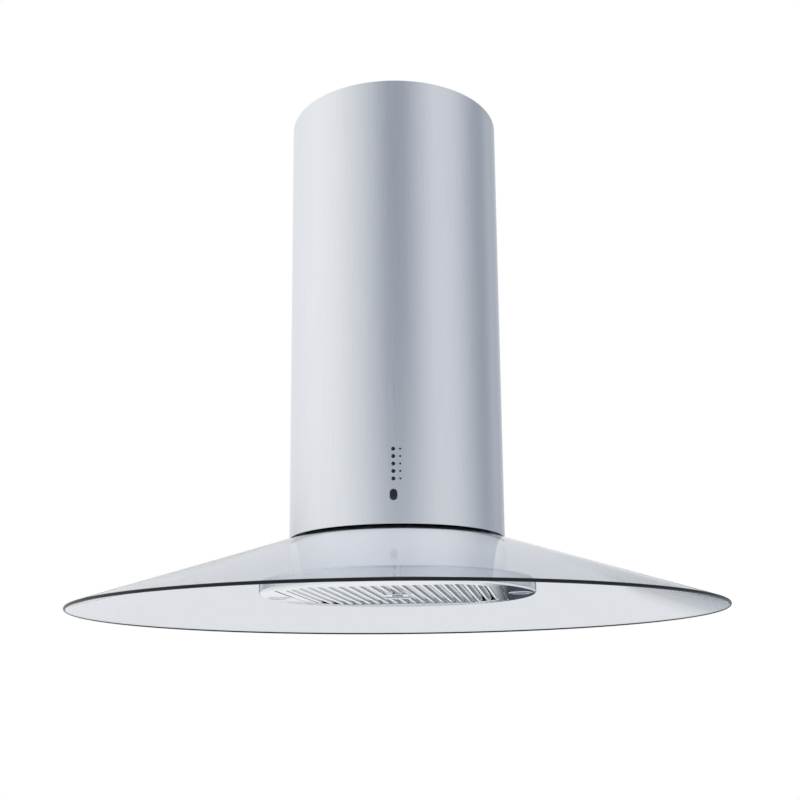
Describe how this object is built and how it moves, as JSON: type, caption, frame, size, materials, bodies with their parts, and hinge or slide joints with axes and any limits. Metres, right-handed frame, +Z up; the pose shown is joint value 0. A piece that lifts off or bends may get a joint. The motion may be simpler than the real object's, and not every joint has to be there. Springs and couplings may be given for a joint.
{
  "type": "chimney range hood",
  "caption": "Ceiling-hung range hood: a round brushed-steel chimney over a wide conical glass canopy, with a square baffle filter in a round tray and push buttons on the chimney's front.",
  "frame": {"origin": "on the ceiling plane, on the chimney's axis: the centre of the ceiling bracket's bolt circle", "axes": "+Z up into the ceiling, -Y towards the front with the buttons, +X to the right seen from the front"},
  "size_m": [0.8994, 0.8994, 0.7297],
  "materials": {
    "brushed_stainless": "brushed",
    "clear_glass": "polished",
    "black_rubber": "matte",
    "galvanised_steel": "galvanised",
    "cast_aluminium": "as cast",
    "zinc_plated_screws": "plated",
    "polished_bezel": "polished",
    "frosted_lens": "frosted",
    "black_button_plastic": "satin",
    "smoked_plastic": "smoked",
    "circuit_board": "solder mask",
    "black_housing_plastic": "moulded",
    "grey_fan_plastic": "moulded",
    "black_painted_motor": "satin",
    "capacitor_can": "moulded"
  },
  "bodies": {
    "hood": {"button_mat": "black_rubber", "cable_gland": "black_housing_plastic", "capacitor_clip": "galvanised_steel", "ceiling_bracket": "galvanised_steel", "chimney": "brushed_stainless", "chimney_screws": "zinc_plated_screws", "clamp_screws": "zinc_plated_screws", "control_board": "circuit_board", "control_housing": "black_housing_plastic", "control_studs_and_nuts": "zinc_plated_screws", "fan_casing_lower": "galvanised_steel", "fan_casing_upper": "galvanised_steel", "fan_screws": "zinc_plated_screws", "fan_seal_ring": "black_rubber", "filter_crossbar": "galvanised_steel", "filter_tray": "brushed_stainless", "flap_pin": "zinc_plated_screws", "frame_screws": "zinc_plated_screws", "glass_canopy": "clear_glass", "glass_clamp_ring": "cast_aluminium", "glass_lower_gasket": "black_rubber", "glass_upper_gasket": "black_rubber", "hood_body": "brushed_stainless", "indicator_light_pipes": "smoked_plastic", "lamp_bezels": "polished_bezel", "lamp_housings": "cast_aluminium", "lamp_lenses": "frosted_lens", "lower_frame_ring": "galvanised_steel", "motor_bearings": "zinc_plated_screws", "motor_body": "black_painted_motor", "motor_carrier": "galvanised_steel", "outlet_collar": "black_housing_plastic", "rear_strap": "galvanised_steel", "remote_window": "smoked_plastic", "run_capacitor": "capacitor_can", "terminal_box": "black_housing_plastic", "terminal_cover": "black_housing_plastic", "tray_screws": "zinc_plated_screws", "upright_front_left": "galvanised_steel", "upright_front_right": "galvanised_steel", "upright_rear_left": "galvanised_steel", "upright_rear_right": "galvanised_steel"},
    "button_off_cap": {"button_off": "black_button_plastic"},
    "button_speed_one_cap": {"button_speed_one": "black_button_plastic"},
    "button_speed_two_cap": {"button_speed_two": "black_button_plastic"},
    "button_speed_three_cap": {"button_speed_three": "black_button_plastic"},
    "button_light_cap": {"button_light": "black_button_plastic"},
    "fan_rotor": {"motor_shaft": "zinc_plated_screws", "impeller_disc": "grey_fan_plastic", "impeller_eye_ring": "grey_fan_plastic", "impeller_blades": "grey_fan_plastic"},
    "front_flap": {"flap_front": "grey_fan_plastic"},
    "rear_flap": {"flap_rear": "grey_fan_plastic"},
    "grease_filter": {"filter_frame": "brushed_stainless", "lower_baffles": "brushed_stainless", "upper_baffles": "brushed_stainless", "filter_hub": "brushed_stainless"},
    "filter_knob_body": {"filter_knob": "brushed_stainless", "knob_stud": "zinc_plated_screws"}
  },
  "joints": [
    {"name": "button_off_press", "type": "slide", "parent": "hood", "child": "button_off_cap", "axis": [0, 1, 0], "range_m": [0, 0.0012], "stiffness_N_per_m": 300},
    {"name": "button_speed_one_press", "type": "slide", "parent": "hood", "child": "button_speed_one_cap", "axis": [0, 1, 0], "range_m": [0, 0.0012], "stiffness_N_per_m": 300},
    {"name": "button_speed_two_press", "type": "slide", "parent": "hood", "child": "button_speed_two_cap", "axis": [0, 1, 0], "range_m": [0, 0.0012], "stiffness_N_per_m": 300},
    {"name": "button_speed_three_press", "type": "slide", "parent": "hood", "child": "button_speed_three_cap", "axis": [0, 1, 0], "range_m": [0, 0.0012], "stiffness_N_per_m": 300},
    {"name": "button_light_press", "type": "slide", "parent": "hood", "child": "button_light_cap", "axis": [0, 1, 0], "range_m": [0, 0.0012], "stiffness_N_per_m": 300},
    {"name": "fan_spin", "type": "hinge", "parent": "hood", "child": "fan_rotor", "pos_m": [0, 0, -0.55], "axis": [0, 0, 1], "continuous": true},
    {"name": "front_flap_lift", "type": "hinge", "parent": "hood", "child": "front_flap", "pos_m": [0, 0, -0.39931], "axis": [-1, 0, 0], "range_deg": [0, 75]},
    {"name": "rear_flap_lift", "type": "hinge", "parent": "hood", "child": "rear_flap", "pos_m": [0, 0, -0.39931], "axis": [1, 0, 0], "range_deg": [0, 75]},
    {"name": "filter_drop", "type": "slide", "parent": "hood", "child": "grease_filter", "axis": [0, 0, -1], "range_m": [0, 0.09]},
    {"name": "filter_knob_turn", "type": "hinge", "parent": "grease_filter", "child": "filter_knob_body", "pos_m": [0, 0, -0.7], "axis": [0, 0, 1], "continuous": true}
  ]
}
